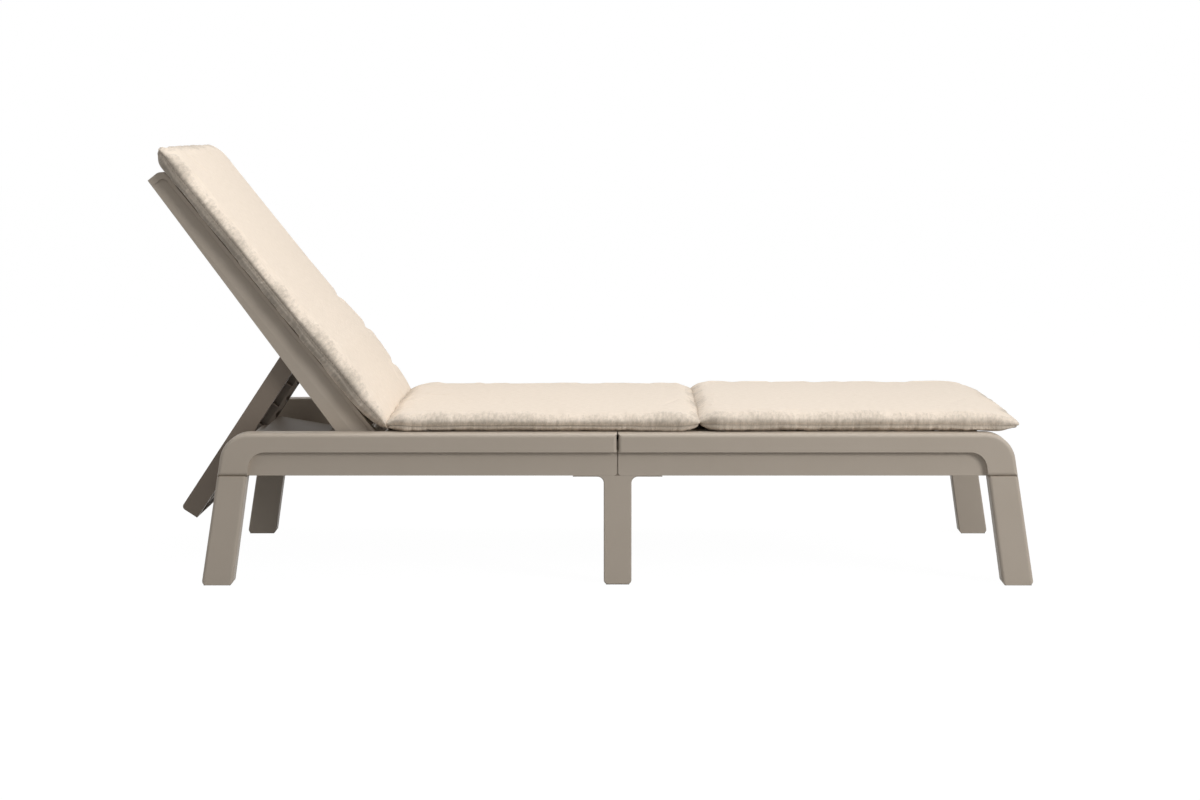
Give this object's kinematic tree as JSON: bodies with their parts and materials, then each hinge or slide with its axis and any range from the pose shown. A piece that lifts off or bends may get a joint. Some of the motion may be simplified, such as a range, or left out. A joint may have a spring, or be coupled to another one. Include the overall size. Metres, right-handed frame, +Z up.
{
  "type": "spa relaxation lounger",
  "caption": "Low moulded relaxation lounger with a raised reclining backrest, a folding prop that rests on a crossbar catch, and a sectioned cream cushion.",
  "frame": {"origin": "on the floor under the middle of the whole outline at rest", "axes": "+X along the lounger from the backrest to the foot end, +Y to the left of a person lying on it, +Z up"},
  "size_m": [1.78, 0.68, 0.8766],
  "materials": {
    "frame_resin": "taupe moulded resin, fine matt texture",
    "slat_resin": "taupe moulded resin, fine matt texture",
    "backrest_resin": "taupe moulded resin, fine matt texture",
    "prop_resin": "taupe moulded resin, fine matt texture",
    "glide_plastic": "dark soft plastic",
    "steel": "stainless steel",
    "cushion_fabric": "cream woven outdoor fabric over soft filling"
  },
  "bodies": {
    "base": {"head_rail_right": "frame_resin", "head_rail_left": "frame_resin", "foot_rail_right": "frame_resin", "foot_rail_left": "frame_resin", "leg_foot_right": "frame_resin", "leg_foot_left": "frame_resin", "leg_head_right": "frame_resin", "leg_head_left": "frame_resin", "leg_middle_right": "frame_resin", "leg_middle_left": "frame_resin", "hinge_pins": "steel", "leg_glides": "glide_plastic", "head_crossbar": "frame_resin", "middle_crossbar": "frame_resin", "foot_crossbar": "frame_resin", "seat_slat_01": "slat_resin", "seat_slat_02": "slat_resin", "seat_slat_03": "slat_resin", "seat_slat_04": "slat_resin", "seat_slat_05": "slat_resin", "seat_slat_06": "slat_resin", "seat_slat_07": "slat_resin", "seat_slat_08": "slat_resin", "seat_slat_09": "slat_resin", "seat_slat_10": "slat_resin", "seat_slat_11": "slat_resin", "seat_slat_12": "slat_resin", "seat_slat_13": "slat_resin", "seat_slat_14": "slat_resin", "frame_bolts": "steel", "cushion_seat": "cushion_fabric", "cushion_legs": "cushion_fabric"},
    "backrest": {"backrest_beam_right": "backrest_resin", "backrest_beam_left": "backrest_resin", "backrest_top_bar": "backrest_resin", "backrest_bottom_bar": "backrest_resin", "backrest_slat_1": "backrest_resin", "backrest_slat_2": "backrest_resin", "backrest_slat_3": "backrest_resin", "backrest_slat_4": "backrest_resin", "backrest_slat_5": "backrest_resin", "backrest_slat_6": "backrest_resin", "backrest_slat_7": "backrest_resin", "prop_pins": "steel", "cushion_back": "cushion_fabric"},
    "prop": {"prop_arm_right": "prop_resin", "prop_arm_left": "prop_resin", "prop_tail_bar": "prop_resin"}
  },
  "joints": [
    {"name": "backrest_recline", "type": "hinge", "parent": "base", "child": "backrest", "pos_m": [-0.45514, 0, 0.28], "axis": [0, -1, 0], "range_deg": [0, 51.5]},
    {"name": "prop_fold", "type": "hinge", "parent": "backrest", "child": "prop", "pos_m": [-0.60689, 0, 0.46468], "axis": [0, 1, 0], "range_deg": [0, 107.4]}
  ],
  "couplings": [
    {"joint": "prop_fold", "follows": "backrest_recline", "ratio": 2.0835}
  ]
}
